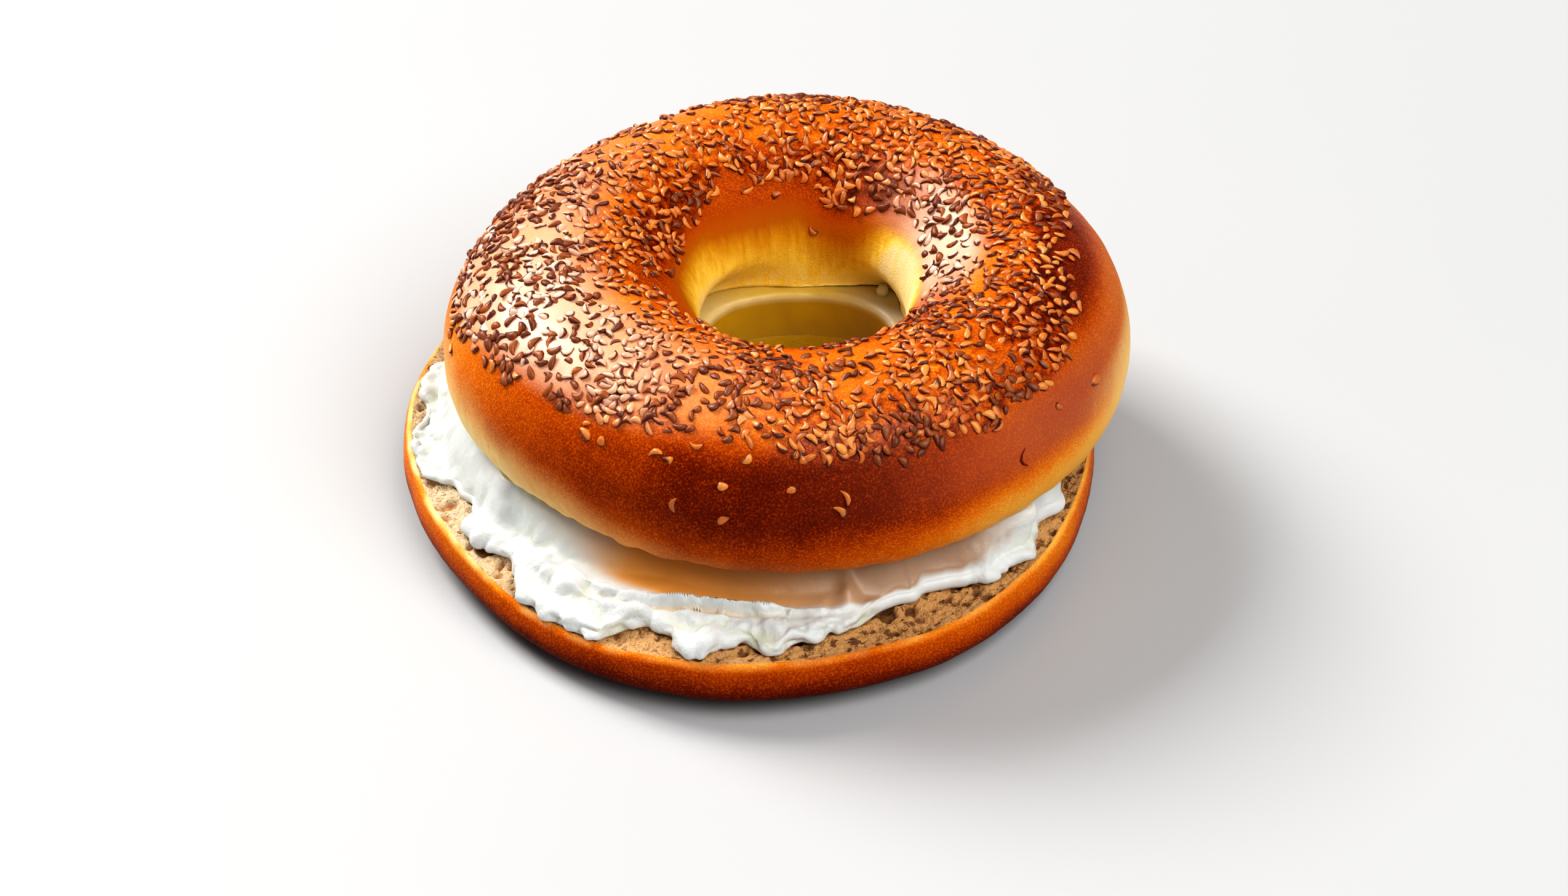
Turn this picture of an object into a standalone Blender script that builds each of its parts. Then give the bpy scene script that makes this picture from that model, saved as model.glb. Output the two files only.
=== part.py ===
"""A seeded bagel cut across and filled with cream cheese.

Three rings lie on each other: the heel (lower half), a thick layer of cream cheese, and the crown
(upper half). The hole runs through all three. Z is up and the heel's flat underside is at z = 0.

Every ring is a torus primitive whose vertices are moved by a function of two numbers: the turn round
the ring, and the step round its section. A section is a list of (share, height) pairs, where share runs
from 0 at the ring's outer line to 1 at the hole. Lengths are in metres and turns are in radians, with
turn 0 at +X.
"""

from math import cos, exp, pi, radians, sin

import bpy

MM = 0.001
GAP = 0.3 * MM
BREAD_AROUND = 88
CREAM_AROUND = 132
CIRCLE_POWER = 2.0
SHARP_EDGE = radians(40)

# The hole down through the cream and the heel is a little square.
HOLE_CENTRE = (7.75 * MM, 10.5 * MM)
HOLE_RADII = (17.0 * MM, 14.5 * MM)
HOLE_POWER = 2.4

# The heel: a low round cake with a flat underside, a bulging crust and a flat cut face on top.
HEEL_RADIUS = 63.3 * MM
HEEL_BULGE_HEIGHT = 6.0 * MM
HEEL_HEIGHT = 11.2 * MM
HEEL_RIM_INSET = 1.4 * MM
HEEL_FLAT_RADIUS = 48.6 * MM
HEEL_FOOT_POWER = 2.2
HEEL_HOLE_LEAN = 0.98
HEEL_SWELL = ((2, -2.1, 0.0), (3, -1.0, 1.1))
HEEL_FLATS = ((285, -1.4, 16),)

# The crown: a domed ring that sits a little to the right of the heel, on the cream.
CROWN_CENTRE = (6.1 * MM, 2.6 * MM)
CROWN_CUT_HEIGHT = 20.5 * MM
CROWN_RADIUS = 58.1 * MM
CROWN_BULGE_HEIGHT = 8.2 * MM
CROWN_HEIGHT = 26.8 * MM
CROWN_CUT_INSET = 2.9 * MM
CROWN_CREST_SHARE = 0.47
CROWN_OUTER_POWER = 2.05
CROWN_INNER_POWER = 1.85
CROWN_SWELL = ((2, 0.5, 0.4), (3, -0.3, -0.3), (4, 0.9, 0.0))
THROAT_CENTRE = (8.5 * MM, 6.4 * MM)
THROAT_RADII = (18.0 * MM, 20.0 * MM)
THROAT_HEIGHT = 9.0 * MM
FOOT_CENTRE = (8.2 * MM, 10.6 * MM)
FOOT_RADII = (19.8 * MM, 19.4 * MM)
# The crown's foot in the hole leaves its ellipse: (turn in degrees, mm outwards, half width in degrees).
FOOT_CORNERS = ((44, 3.0, 13), (90, -2.8, 26), (142, 2.4, 20))

# The cream: spread from the hole to a ragged edge that stops short of the heel's rim.
CREAM_EDGE_INSET = 6.4 * MM
# Tongues of cream pushed out past the rest: (turn in degrees, reach in mm, half width in degrees).
CREAM_TONGUES = (
    (5, 3.6, 6), (22, 3.0, 6), (47, 4.0, 8), (70, 2.5, 5), (88, 3.6, 7), (112, 3.0, 6), (133, 4.0, 7),
    (152, 3.0, 6), (170, 5.0, 9), (190, 2.0, 6), (209, 3.0, 6), (236, 4.6, 8), (262, 3.6, 6), (275, 3.2, 6),
    (314, 2.2, 6), (327, 4.0, 7), (347, 3.0, 7),
)  # fmt: skip

# Low waves left by a knife on the part of the cream in the open, which ends at a share of its width:
# (waves round the ring, radians per share, radians at the start, height in mm).
CREAM_WAVES = ((7, 40.0, 0.0, 0.45), (13, 0.0, 1.0, 0.35))
CREAM_OPEN_SHARE = 0.3
CREAM_FOOT_LEVEL = 0.3

# The bagel's middle in plan, which moves the whole to stand centred on the origin.
MIDDLE = (1.51 * MM, -0.78 * MM)

MATERIALS = {
    "heel": ((0.62, 0.27, 0.07), 0.55),
    "cream_cheese": ((0.91, 0.90, 0.85), 0.42),
    "crown": ((0.50, 0.15, 0.03), 0.38),
}


def swell(turn, terms):
    """Metres added to a round outline: a sum of cosine and sine waves, given as (waves, cos mm, sin mm)."""
    return sum(c * cos(n * turn) + s * sin(n * turn) for n, c, s in terms) * MM


def bells(turn, terms):
    """Metres added to an outline in bells, given as (turn in degrees, mm, half width in degrees)."""
    total = 0.0
    for degrees, amount, width in terms:
        away = (turn - radians(degrees) + pi) % (2 * pi) - pi
        total += amount * MM * exp(-((away / radians(width)) ** 2))
    return total


def ring_point(turn, centre, radii):
    """A point in plan on an ellipse about a centre."""
    return centre[0] + radii[0] * cos(turn), centre[1] + radii[1] * sin(turn)


def mix(start, end, share):
    """A point between two points in plan."""
    return tuple(a + (b - a) * share for a, b in zip(start, end))


def quarter(start, end, power, steps, first_is_level):
    """The points of a superellipse quarter between two points of a section, without its last point.

    first_is_level tells which end the curve leaves level; it leaves the other end upright.
    """
    points = []
    for step in range(steps):
        turn = step / steps * pi / 2
        rise = sin(turn) ** (2 / power)
        fall = 1 - cos(turn) ** (2 / power)
        across, up = (rise, fall) if first_is_level else (fall, rise)
        points.append((start[0] + (end[0] - start[0]) * across, start[1] + (end[1] - start[1]) * up))
    return points


def line(start, end, steps):
    """Evenly spaced points from start towards end, without the last one."""
    return [mix(start, end, step / steps) for step in range(steps)]


def heel_outline(turn, inset=0.0):
    """The heel's plan outline at its widest, drawn in by inset."""
    radius = HEEL_RADIUS + swell(turn, HEEL_SWELL) + bells(turn, HEEL_FLATS) - inset
    return ring_point(turn, (0.0, 0.0), (radius, radius))


def hole_outline(turn):
    """The plan outline of the hole through the cream and the heel: a superellipse."""
    across = abs(cos(turn) / HOLE_RADII[0]) ** HOLE_POWER
    along = abs(sin(turn) / HOLE_RADII[1]) ** HOLE_POWER
    reach = (across + along) ** (-1 / HOLE_POWER)
    return ring_point(turn, HOLE_CENTRE, (reach, reach))


def foot_outline(turn):
    """The plan outline of the crown's foot in the hole: an ellipse with its corners pushed out."""
    corner = bells(turn, FOOT_CORNERS)
    return ring_point(turn, FOOT_CENTRE, (FOOT_RADII[0] + corner, FOOT_RADII[1] + corner))


def crown_outline(turn):
    """The crown's plan outline at its widest."""
    radius = CROWN_RADIUS + swell(turn, CROWN_SWELL)
    return ring_point(turn, CROWN_CENTRE, (radius, radius))


def cream_reach(turn):
    """How far the cream stops short of the heel's outline: an even inset less its tongues."""
    return CREAM_EDGE_INSET - bells(turn, CREAM_TONGUES)


def heel_section():
    """The heel from its underside's outer edge, up the crust, across the cut face and down the hole."""
    width = HEEL_RADIUS - HOLE_RADII[0]
    flat = (HEEL_RADIUS - HEEL_FLAT_RADIUS) / width
    rim = HEEL_RIM_INSET / width
    section = quarter((flat, 0.0), (0.0, HEEL_BULGE_HEIGHT), HEEL_FOOT_POWER, 5, True)
    section += quarter((0.0, HEEL_BULGE_HEIGHT), (rim, HEEL_HEIGHT), CIRCLE_POWER, 3, False)
    section += line((rim, HEEL_HEIGHT), (1.0, HEEL_HEIGHT), 4)
    section += line((1.0, HEEL_HEIGHT), (HEEL_HOLE_LEAN, 0.0), 2)
    section += line((HEEL_HOLE_LEAN, 0.0), (flat, 0.0), 3)
    return section


def heel_place(turn, share, height):
    """A heel point: share leads from the outline to the hole."""
    hole = hole_outline(turn)
    return *mix(heel_outline(turn), hole, share), height


def crown_section():
    """The crown from its cut edge, up over the dome, down the hole and back along the cut face."""
    width = CROWN_RADIUS - THROAT_RADII[0]
    edge = CROWN_CUT_INSET / width
    crest = (CROWN_CREST_SHARE, CROWN_HEIGHT)
    widest = (0.0, CROWN_BULGE_HEIGHT)
    throat = (1.0, THROAT_HEIGHT)
    fall = quarter((0.0, 0.0), (edge, CROWN_BULGE_HEIGHT), CIRCLE_POWER, 4, False)[1:]
    section = [(edge, 0.0)]
    section += [(share, CROWN_BULGE_HEIGHT - drop) for share, drop in reversed(fall)]
    section += quarter(widest, crest, CROWN_OUTER_POWER, 8, False)
    section += quarter(crest, throat, CROWN_INNER_POWER, 6, True)
    section += line(throat, (1.0, 0.0), 2)
    section += line((1.0, 0.0), (edge, 0.0), 3)
    return section


def crown_place(turn, share, height):
    """A crown point. Below the throat the hole's ellipse turns smoothly into the foot's outline."""
    drop = max(0.0, 1 - height / THROAT_HEIGHT)
    ease = drop * drop * (3 - 2 * drop)
    throat = ring_point(turn, THROAT_CENTRE, THROAT_RADII)
    inner = mix(throat, foot_outline(turn), ease)
    return *mix(crown_outline(turn), inner, share), CROWN_CUT_HEIGHT + height


def cream_section():
    """The cream from its outer foot, over the ragged edge, in under the crown and down the hole.

    Heights run from 0 at the heel's cut face to 1 under the crown's cut face.
    """
    return [
        (0.03, 0.0), (0.0, 0.14), (0.0, 0.34), (0.035, 0.56), (0.085, 0.70), (0.15, 0.84), (0.24, 0.97),
        (0.36, 1.0), (0.62, 1.0), (0.9, 1.0), (0.985, 0.9), (1.0, 0.62), (1.0, 0.3), (1.0, 0.0), (0.5, 0.0),
    ]  # fmt: skip


def cream_place(turn, share, level):
    """A cream point. A knife's strokes leave low waves on the part that is not pressed by the crown."""
    outer = heel_outline(turn, cream_reach(turn))
    inner = hole_outline(turn)
    low = HEEL_HEIGHT + GAP
    high = CROWN_CUT_HEIGHT - GAP
    open_part = max(0.0, 1 - share / CREAM_OPEN_SHARE) * min(1.0, level / CREAM_FOOT_LEVEL)
    waves = sum(rise * sin(count * turn + lean * share + start) for count, lean, start, rise in CREAM_WAVES)
    return *mix(outer, inner, share), low + (high - low) * level + waves * MM * open_part


def make_material(name):
    """A Principled material with the part's colour and roughness."""
    colour, roughness = MATERIALS[name]
    material = bpy.data.materials.new(name)
    material.use_nodes = True
    shader = material.node_tree.nodes["Principled BSDF"]
    shader.inputs["Base Color"].default_value = (*colour, 1.0)
    shader.inputs["Roughness"].default_value = roughness
    shader.inputs["Metallic"].default_value = 0.0
    return material


def make_ring(name, around, section, place, collection):
    """Shapes a torus primitive: its rings of vertices follow the turn, and each ring takes the section.

    The primitive lists the vertices of one section after another, outermost first and then upwards,
    so a section is given in that order too: up its outside, over its top and down its hole.
    """
    steps = len(section)
    bpy.ops.mesh.primitive_torus_add(
        major_segments=around, minor_segments=steps, major_radius=1.0, minor_radius=0.25
    )
    ring = bpy.context.object
    ring.name = name
    ring.data.name = name
    for vertex in ring.data.vertices:
        column, step = divmod(vertex.index, steps)
        x, y, z = place(2 * pi * column / around, *section[step])
        vertex.co = (x - MIDDLE[0], y - MIDDLE[1], z)
    ring.data.shade_smooth()
    ring.data.set_sharp_from_angle(angle=SHARP_EDGE)
    ring.data.materials.append(make_material(name))
    for home in list(ring.users_collection):
        home.objects.unlink(ring)
    collection.objects.link(ring)
    return ring


def main():
    """Clears the scene and builds the three rings from the bottom up."""
    for item in list(bpy.data.objects):
        bpy.data.objects.remove(item)
    bagel = bpy.data.collections.new("bagel")
    bpy.context.scene.collection.children.link(bagel)
    make_ring("heel", BREAD_AROUND, heel_section(), heel_place, bagel)
    make_ring("cream_cheese", CREAM_AROUND, cream_section(), cream_place, bagel)
    make_ring("crown", BREAD_AROUND, crown_section(), crown_place, bagel)


main()
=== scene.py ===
"""Looks for a seeded bagel that is cut across and filled with cream cheese.

Three rings lie on each other: the heel, the cream cheese and the crown. Each is one closed surface on a
grid of two parameters, the turn round the ring and the step round its section, and its relief moves the
grid's points along their normals. Sesame seeds are small closed grids set on the crown. Lengths are in
metres, turns are in radians with turn 0 at +X, and away is a distance inwards from a ring's outer line.
"""

from itertools import product
from math import cos, pi, radians, sin

import bpy
import numpy as np
from bpy.props import FloatProperty, FloatVectorProperty, IntProperty, PointerProperty
from mathutils import Matrix, Vector


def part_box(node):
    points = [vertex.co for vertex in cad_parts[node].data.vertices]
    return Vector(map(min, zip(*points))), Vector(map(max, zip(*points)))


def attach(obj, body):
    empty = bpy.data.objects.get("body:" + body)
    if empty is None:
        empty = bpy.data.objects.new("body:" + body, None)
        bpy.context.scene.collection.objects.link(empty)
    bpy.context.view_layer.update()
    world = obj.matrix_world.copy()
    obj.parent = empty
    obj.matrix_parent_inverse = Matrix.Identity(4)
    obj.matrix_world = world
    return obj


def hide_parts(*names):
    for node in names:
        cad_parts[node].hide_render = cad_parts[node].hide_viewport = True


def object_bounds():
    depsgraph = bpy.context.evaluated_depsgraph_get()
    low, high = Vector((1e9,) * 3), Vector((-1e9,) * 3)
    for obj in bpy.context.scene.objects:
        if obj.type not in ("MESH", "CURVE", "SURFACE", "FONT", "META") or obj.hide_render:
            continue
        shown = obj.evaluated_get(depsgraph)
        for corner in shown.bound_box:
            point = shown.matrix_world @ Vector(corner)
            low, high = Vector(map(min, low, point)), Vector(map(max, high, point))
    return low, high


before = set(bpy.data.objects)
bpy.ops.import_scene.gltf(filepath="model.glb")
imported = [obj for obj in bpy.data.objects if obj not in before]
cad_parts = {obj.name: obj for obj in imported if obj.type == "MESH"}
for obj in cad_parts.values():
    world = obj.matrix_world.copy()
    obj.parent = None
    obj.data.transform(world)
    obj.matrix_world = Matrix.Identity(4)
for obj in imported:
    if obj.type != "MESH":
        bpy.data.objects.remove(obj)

bl_info = {
    "name": "Seeded Bagel",
    "version": (1, 0, 0),
    "blender": (4, 5, 0),
    "location": "3D View > Sidebar > Bagel",
    "description": "Builds a filled bagel's crust, crumb, cream cheese and seeds round its packed model",
    "category": "Add Mesh",
}

MM = 0.001
HEEL_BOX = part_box("heel")
CREAM_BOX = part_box("cream_cheese")
CROWN_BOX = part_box("crown")
CAD_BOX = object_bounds()

# The hole down through the cream and the heel is a little square.
HOLE_CENTRE = (7.75 * MM, 10.5 * MM)
HOLE_RADII = (17.0 * MM, 14.5 * MM)
HOLE_POWER = 2.4
# A row of points this close to a sharp corner keeps the corner's blended shading off its walls.
CORNER = 0.05 * MM

HEEL_RADIUS = 63.3 * MM
HEEL_BULGE_HEIGHT = 6.0 * MM
HEEL_HEIGHT = HEEL_BOX[1].z
HEEL_RIM_INSET = 1.4 * MM
HEEL_FLAT_RADIUS = 48.6 * MM
HEEL_SWELL = ((2, -2.1, 0.0), (3, -1.0, 1.1))
HEEL_FLATS = ((285, -1.4, 16),)

CROWN_CENTRE = (6.1 * MM, 2.6 * MM)
CROWN_CUT_HEIGHT = CROWN_BOX[0].z
CROWN_RADIUS = 58.1 * MM
CROWN_BULGE_HEIGHT = 8.2 * MM
CROWN_HEIGHT = CROWN_BOX[1].z - CROWN_CUT_HEIGHT
CROWN_CUT_INSET = 2.9 * MM
CROWN_CREST_SHARE = 0.47
CROWN_OUTER_POWER = 2.05
CROWN_INNER_POWER = 1.85
CROWN_SWELL = ((2, 0.5, 0.4), (3, -0.3, -0.3), (4, 0.9, 0.0))
THROAT_CENTRE = (8.5 * MM, 6.4 * MM)
THROAT_RADII = (18.0 * MM, 20.0 * MM)
THROAT_HEIGHT = 9.0 * MM
FOOT_CENTRE = (8.2 * MM, 10.6 * MM)
FOOT_RADII = (19.8 * MM, 19.4 * MM)
# The crown's foot in the hole leaves its ellipse: (turn in degrees, mm outwards, half width in degrees).
FOOT_CORNERS = ((44, 3.0, 13), (90, -2.8, 26), (142, 2.4, 20))

CREAM_INSET = 6.4 * MM
# Lobes of cream pushed out past the rest: (turn in degrees, reach in mm, half width in degrees).
CREAM_LOBES = (
    (5, 3.0, 6), (22, 2.6, 6), (47, 3.4, 8), (70, 2.2, 5), (88, 3.2, 7), (112, 2.8, 6), (133, 3.4, 7),
    (152, 2.8, 6), (171, 4.6, 9), (189, 5.4, 8), (214, 2.8, 5), (232, 4.4, 7), (243, 5.2, 5),
    (262, 4.0, 3.5), (273, 3.0, 3), (285, 1.4, 16), (316, 2.0, 6), (323, 3.2, 4), (333, 4.8, 4),
    (349, 3.0, 6),
)
# Gulfs where the crumb shows further in: (turn in degrees, depth in mm, half width in degrees).
CREAM_GULFS = ((205, 0.4, 4), (253, 1.6, 4), (267.5, 1.0, 2), (282, 1.2, 6), (296, 3.2, 8))


# --- Numbers on grids -----------------------------------------------------------------------------------


def hashed(corner, seed):
    """A value from -1 to 1 for each whole-number corner: its coordinates are multiplied by large odd
    numbers, combined by exclusive or with the seed, and stirred by shifts and one more product."""
    key = corner.astype(np.int64).astype(np.uint64)
    factors = np.array([0x9E3779B97F4A7C15, 0xC2B2AE3D27D4EB4F, 0x165667B19E3779F9], np.uint64)
    mixed = np.full(key.shape[:-1], seed * 7919 + 12345, np.uint64)
    for axis in range(key.shape[-1]):
        mixed ^= key[..., axis] * factors[axis]
        mixed ^= mixed >> np.uint64(31)
        mixed *= np.uint64(0xD6E8FEB86659FD93)
    mixed ^= mixed >> np.uint64(32)
    return (mixed >> np.uint64(40)).astype(float) / 2**23 - 1


def noise(points, size, seed):
    """Smooth random values from -1 to 1: a point takes the hashed values of its cell's corners, each
    weighed by the smoothstep of how near the point is to it along every axis. Cells have the given
    size."""
    cell = points / size
    corner = np.floor(cell)
    part = smooth(cell - corner)
    total = np.zeros(points.shape[:-1])
    for step in product((0, 1), repeat=points.shape[-1]):
        weight = np.prod(np.where(step, part, 1 - part), axis=-1)
        total += hashed(corner + step, seed) * weight
    return total


def layered(points, size, seed, layers=4, keep=0.5):
    """Noise in layers: each has half the cell size of the one before and keep times its height."""
    return sum(noise(points, size / 2**layer, seed + layer) * keep**layer for layer in range(layers))


def pits(points, size, share, seed):
    """Depth from 0 to 1 of round pits: in a share of the cells a pit has a hashed place and radius, and
    its depth falls as a parabola from its middle to its rim."""
    home = np.floor(points / size)
    depth = np.zeros(points.shape[:-1])
    axes = points.shape[-1]
    for step in product((-1, 0, 1), repeat=axes):
        corner = home + step
        shift = np.stack([hashed(corner, seed + axis) * 0.5 + 0.5 for axis in range(axes)], -1)
        radius = size * (0.34 + 0.2 * hashed(corner, seed + 5))
        there = hashed(corner, seed + 6) * 0.5 + 0.5 < share
        distance = np.linalg.norm(points - (corner + shift) * size, axis=-1)
        depth = np.maximum(depth, np.where(there, 1 - (distance / radius) ** 2, 0))
    return depth


def smooth(value, low=0.0, high=1.0):
    """The smoothstep of a value: 0 up to low, 1 from high on, and 3t^2 - 2t^3 between them."""
    share = np.clip((value - low) / (high - low), 0, 1)
    return share * share * (3 - 2 * share)


def near(turn, degrees, width):
    """A bell over the turn, 1 at the given degrees and 1/e at a width of degrees to either side."""
    away = (np.degrees(turn) - degrees + 180) % 360 - 180
    return np.exp(-((away / width) ** 2))


def bells(turn, terms):
    """Metres added to an outline in bells, given as (turn in degrees, mm, half width in degrees)."""
    return sum(amount * MM * near(turn, degrees, width) for degrees, amount, width in terms)


def turns(columns):
    """Evenly spaced turns round the ring, as one row."""
    return (np.arange(columns) * (2 * pi / columns))[None, :]


def ellipse(turn, centre, radii):
    """A plan point on an ellipse: its centre plus its radii times the turn's cosine and sine."""
    return np.stack([centre[0] + radii[0] * np.cos(turn), centre[1] + radii[1] * np.sin(turn)], -1)


def swell(turn, terms):
    """Metres added to a round outline: a sum of cosine and sine waves, given as (waves, cos mm, sin mm)."""
    return sum(c * np.cos(n * turn) + s * np.sin(n * turn) for n, c, s in terms) * MM


def heel_radius(turn):
    """The heel's plan radius at its widest, a little flat at the front right."""
    return HEEL_RADIUS + swell(turn, HEEL_SWELL) + bells(turn, HEEL_FLATS)


def heel_outline(turn, inset=0.0):
    """The heel's plan outline at its widest, drawn in by inset."""
    radius = heel_radius(turn) - inset
    return ellipse(turn, (0.0, 0.0), (radius, radius))


def hole_outline(turn):
    """The plan outline of the hole through the cream and the heel: |x / a|^n + |y / b|^n = 1 about its
    centre."""
    across = np.abs(np.cos(turn) / HOLE_RADII[0]) ** HOLE_POWER
    along = np.abs(np.sin(turn) / HOLE_RADII[1]) ** HOLE_POWER
    reach = (across + along) ** (-1 / HOLE_POWER)
    return ellipse(turn, HOLE_CENTRE, (reach, reach))


def foot_outline(turn):
    """The plan outline of the crown's foot in the hole: an ellipse with its corners pushed out."""
    corner = bells(turn, FOOT_CORNERS)
    return ellipse(turn, FOOT_CENTRE, (FOOT_RADII[0] + corner, FOOT_RADII[1] + corner))


def crown_outline(turn):
    """The crown's plan outline at its widest."""
    radius = CROWN_RADIUS + swell(turn, CROWN_SWELL)
    return ellipse(turn, CROWN_CENTRE, (radius, radius))


def plan_shift():
    """How far the outlines' own middle lies from the middle of the heel's box."""
    outline = heel_outline(turns(720)).reshape(-1, 2)
    middle = (outline.min(0) + outline.max(0)) / 2
    return np.array(((HEEL_BOX[0] + HEEL_BOX[1]) / 2)[:2]) - middle


PLAN_SHIFT = plan_shift()


def stand(plan, height):
    """Plan points and heights as points in the shared frame."""
    height = np.broadcast_to(height, plan.shape[:-1])
    return np.concatenate([plan + PLAN_SHIFT, height[..., None]], axis=-1)


def between(start, end, share):
    """Points from start to end at a share of the way, which has one axis less."""
    return start + (end - start) * np.asarray(share)[..., None]


def quarter(start, end, power, steps, first_is_level):
    """A superellipse quarter between two points of a section, without its last: sine and cosine of the
    quarter turn, each to the power of 2 over power. first_is_level tells which end it leaves level."""
    turn = np.arange(steps) / steps * pi / 2
    rise = np.sin(turn) ** (2 / power)
    fall = 1 - np.cos(turn) ** (2 / power)
    across, up = (rise, fall) if first_is_level else (fall, rise)
    return np.stack([start[0] + (end[0] - start[0]) * across, start[1] + (end[1] - start[1]) * up], -1)


def line(start, end, steps):
    """Evenly spaced points from start towards end, without the last one."""
    return between(np.array(start), np.array(end), np.arange(steps) / steps)


def normals(points):
    """Outward unit normals of a grid that closes both ways: the step along the turn crossed with the step
    along the section."""
    along = np.roll(points, -1, 1) - np.roll(points, 1, 1)
    over = np.roll(points, -1, 0) - np.roll(points, 1, 0)
    normal = np.cross(along, over)
    return normal / np.maximum(np.linalg.norm(normal, axis=-1, keepdims=True), 1e-12)


def rim_drop(points):
    """How far the cut face sags at the heel's rim: most at the front left, fading out on the way in."""
    plan = points[..., :2] - PLAN_SHIFT
    turn = np.arctan2(plan[..., 1], plan[..., 0])
    away = heel_radius(turn) - np.linalg.norm(plan, axis=-1)
    drop = 2.3 * near(turn, 238, 17) + 0.5 * near(turn, 205, 14) + 0.35 * noise(points[..., :2], 9 * MM, 91)
    return drop * MM * (1 - smooth(away, 1.5 * MM, 9 * MM))


# --- Meshes ---------------------------------------------------------------------------------------------


def ring_faces(rows, columns):
    """The quads of a grid that closes both ways, as rows of four vertex numbers."""
    index = np.arange(rows * columns).reshape(rows, columns)
    right = np.roll(index, -1, 1)
    up = np.roll(index, -1, 0)
    return np.stack([index, right, np.roll(right, -1, 0), up], -1).reshape(-1, 4)


def make_piece(name, points, faces, paints, replaced=(), looks=None, face_paint=None):
    """A smooth mesh from points and faces, with its looks as float attributes, that rides on the root
    body."""
    mesh = bpy.data.meshes.new(name)
    mesh.from_pydata(points.reshape(-1, 3).tolist(), [], [list(face) for face in faces])
    mesh.shade_smooth()
    for label, values in (looks or {}).items():
        attribute = mesh.attributes.new(label, "FLOAT", "POINT")
        spread = np.broadcast_to(values, points.shape[:-1])
        attribute.data.foreach_set("value", spread.astype(np.float32).ravel())
    for paint in paints:
        mesh.materials.append(paint)
    if face_paint is not None:
        mesh.polygons.foreach_set("material_index", face_paint.astype(np.int32).ravel())
    piece = bpy.data.objects.new(name, mesh)
    bpy.context.scene.collection.objects.link(piece)
    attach(piece, "root")
    if replaced:
        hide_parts(*replaced)


# --- The crown ------------------------------------------------------------------------------------------

CROWN_COLUMNS = 740
CROWN_LOW_STEPS = 14
CROWN_DOME_STEPS = 52
CROWN_THROAT_STEPS = 34
CROWN_WALL_STEPS = 14
CROWN_FACE_STEPS = 14


def crown_section():
    """The crown from its cut edge, up over the dome, down the hole and back along the cut face."""
    edge = CROWN_CUT_INSET / (CROWN_RADIUS - THROAT_RADII[0])
    crest = (CROWN_CREST_SHARE, CROWN_HEIGHT)
    widest = (0.0, CROWN_BULGE_HEIGHT)
    throat = (1.0, THROAT_HEIGHT)
    low = quarter(widest, (edge, 0.0), 2.0, CROWN_LOW_STEPS, False)[::-1][:-1]
    return np.concatenate([
        [(edge, 0.0)],
        low,
        quarter(widest, crest, CROWN_OUTER_POWER, CROWN_DOME_STEPS, False),
        quarter(crest, throat, CROWN_INNER_POWER, CROWN_THROAT_STEPS, True),
        line(throat, (1.0, 0.0), CROWN_WALL_STEPS),
        [(1.0, CORNER)],
        line((1.0, 0.0), (edge, 0.0), CROWN_FACE_STEPS),
    ])


def crown_surface():
    """The crown's grid with its relief: broad swells of half a millimetre, finer dents, and a ragged cut
    edge.

    Returns the points, their normals, and for each point the turn, its height over the cut, and how far
    along the dome it is: 0 at the widest line, 1 at the crest and 2 at the throat.
    """
    section = crown_section()
    turn = turns(CROWN_COLUMNS)
    share = section[:, :1]
    height = section[:, 1:] + 0 * turn
    ease = smooth(1 - height / THROAT_HEIGHT)
    throat = ellipse(turn, THROAT_CENTRE, THROAT_RADII)
    inner = between(throat, foot_outline(turn), ease)
    points = stand(between(crown_outline(turn), inner, share + 0 * turn), CROWN_CUT_HEIGHT + height)
    inside = np.broadcast_to(share > CROWN_CREST_SHARE, height.shape)
    on_face = np.arange(len(section)) > len(section) - CROWN_FACE_STEPS
    cut = np.where(on_face[:, None], 0.0, 1.0)
    edge = np.exp(-height / (1.2 * MM)) * np.where(inside, 0.35, 1.0)
    relief = 0.55 * MM * noise(points, 34 * MM, 1) + 0.22 * MM * noise(points, 13 * MM, 2)
    relief += 0.07 * MM * noise(points, 4 * MM, 3) + 0.03 * MM * noise(points, 1.5 * MM, 4)
    torn = 0.30 + 0.45 * near(turn, 240, 18)
    relief += edge * (0.45 * MM * noise(points, 5 * MM, 5) + torn * MM * noise(points, 1.8 * MM, 6))
    low_in_hole = np.where(inside, smooth(1 - height / (15 * MM)), 0)
    streaks = noise(points * (1, 1, 0.12), 1.6 * MM, 7) * low_in_hole
    relief += 0.10 * MM * streaks
    points = points + normals(points) * (relief * cut)[..., None]
    points[..., 2] = np.maximum(points[..., 2], CROWN_CUT_HEIGHT)
    along = np.where(share < CROWN_CREST_SHARE, share / CROWN_CREST_SHARE,
                     1 + (share - CROWN_CREST_SHARE) / (1 - CROWN_CREST_SHARE))
    return points, normals(points), turn + 0 * height, height, along + 0 * turn


def field_edge(turn):
    """The height over the crown's cut down to which its outside is seeded: lowest at the left, highest at
    the right, where a bare flank reaches up to the crest."""
    edge = 20.6 + 5.2 * near(turn, 358, 26) - 3.4 * near(turn, 186, 16)
    return (edge + 2.4 * near(turn, 262, 22) - 1.2 * near(turn, 300, 16)) * MM


def window_sheen(turn, height, along):
    """Where a painted sheen lies on the crown, a pale colour for the window's reflection: the seeded outer
    dome on the left, and the hole's right edge.
    """
    outer = smooth(height, field_edge(turn) - 1.0 * MM, field_edge(turn) + 3.0 * MM)
    outer *= (1 - smooth(along, 0.9, 1.4)) * near(turn, 198, 44)
    inner = near(turn, 8, 30) * smooth(along, 1.28, 1.55) * (1 - smooth(along, 1.8, 1.95))
    return np.clip(0.92 * outer + 1.3 * inner, 0, 1.3)


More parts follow.
